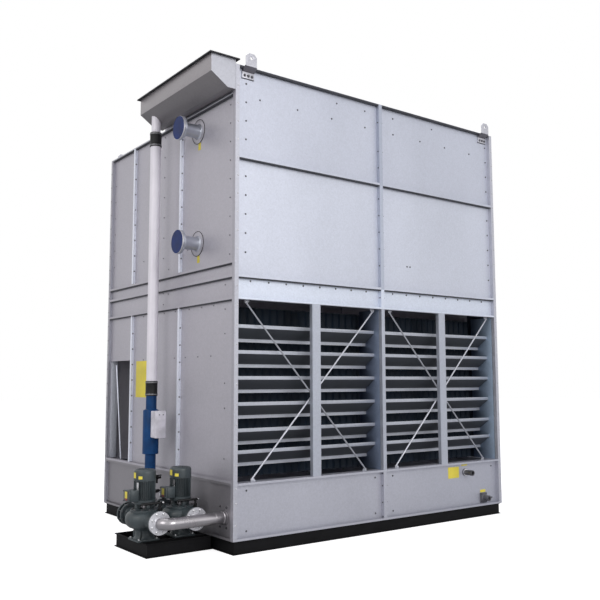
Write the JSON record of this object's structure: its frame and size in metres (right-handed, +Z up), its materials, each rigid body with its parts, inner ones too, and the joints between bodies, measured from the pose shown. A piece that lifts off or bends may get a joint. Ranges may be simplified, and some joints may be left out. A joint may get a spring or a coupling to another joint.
{
  "type": "cooling tower",
  "caption": "Closed-circuit cooling tower in folded zinc-coated sheet, with louvred air inlets, roof fans, spray header hood and riser fed by pumps on a side skid.",
  "frame": {"origin": "centre of the casing's footprint at the underside of the base frame", "axes": "+Z up; +X to the right along the louvre side; the louvre side faces -Y and the pump side faces -X"},
  "size_m": [4.427, 2.9946, 4.62],
  "materials": {
    "casing_zinc": "satin",
    "side_zinc": "satin",
    "base_black": "satin",
    "slat_metal": "satin",
    "fill_black": "matt",
    "pipe_white": "satin",
    "pipe_blue": "satin",
    "coupling_rubber": "matt",
    "pump_green": "satin",
    "pipe_steel": "satin",
    "fan_dark": "matt",
    "dull_zinc": "satin",
    "lid_dark": "satin",
    "box_grey": "satin",
    "fitting_dark": "satin"
  },
  "bodies": {
    "root": {"base_frame": "base_black", "pump_skid": "base_black", "basin": "casing_zinc", "corner_post_front_left": "casing_zinc", "corner_post_front_right": "casing_zinc", "corner_post_rear_left": "casing_zinc", "corner_post_rear_right": "casing_zinc", "louvre_frame": "casing_zinc", "front_lower_casing": "casing_zinc", "front_upper_casing": "casing_zinc", "left_middle_panel": "side_zinc", "left_upper_panel": "side_zinc", "right_middle_panel": "side_zinc", "right_upper_panel": "side_zinc", "rear_middle_panel": "side_zinc", "rear_upper_panel": "side_zinc", "coil_curb": "side_zinc", "roof_deck": "side_zinc", "fan_ring_left": "dull_zinc", "fan_ring_right": "dull_zinc", "impeller_left": "fan_dark", "impeller_right": "fan_dark", "louvre_bank_left": "slat_metal", "louvre_bank_right": "slat_metal", "brace_left_falling": "casing_zinc", "brace_left_rising": "casing_zinc", "brace_right_falling": "casing_zinc", "brace_right_rising": "casing_zinc", "fill_pack_left": "fill_black", "fill_pack_right": "fill_black", "coil_bundle": "dull_zinc", "spray_branches": "pipe_white", "header_hood": "side_zinc", "hood_lid": "lid_dark", "coil_nozzle_upper": "pipe_steel", "coil_nozzle_lower": "pipe_steel", "riser_pipe": "pipe_white", "coupling_upper": "coupling_rubber", "coupling_lower": "coupling_rubber", "descaler": "pipe_blue", "control_box": "box_grey", "pump_body_outer": "pump_green", "pump_body_inner": "pump_green", "pump_motor_outer": "pump_green", "pump_motor_inner": "pump_green", "suction_manifold": "pipe_steel", "discharge_header": "pipe_steel", "lifting_lug_front_left": "dull_zinc", "lifting_lug_front_right": "dull_zinc", "lifting_lug_rear_left": "dull_zinc", "lifting_lug_rear_right": "dull_zinc", "makeup_fitting": "fitting_dark", "drain_fitting": "fitting_dark"}
  },
  "joints": []
}
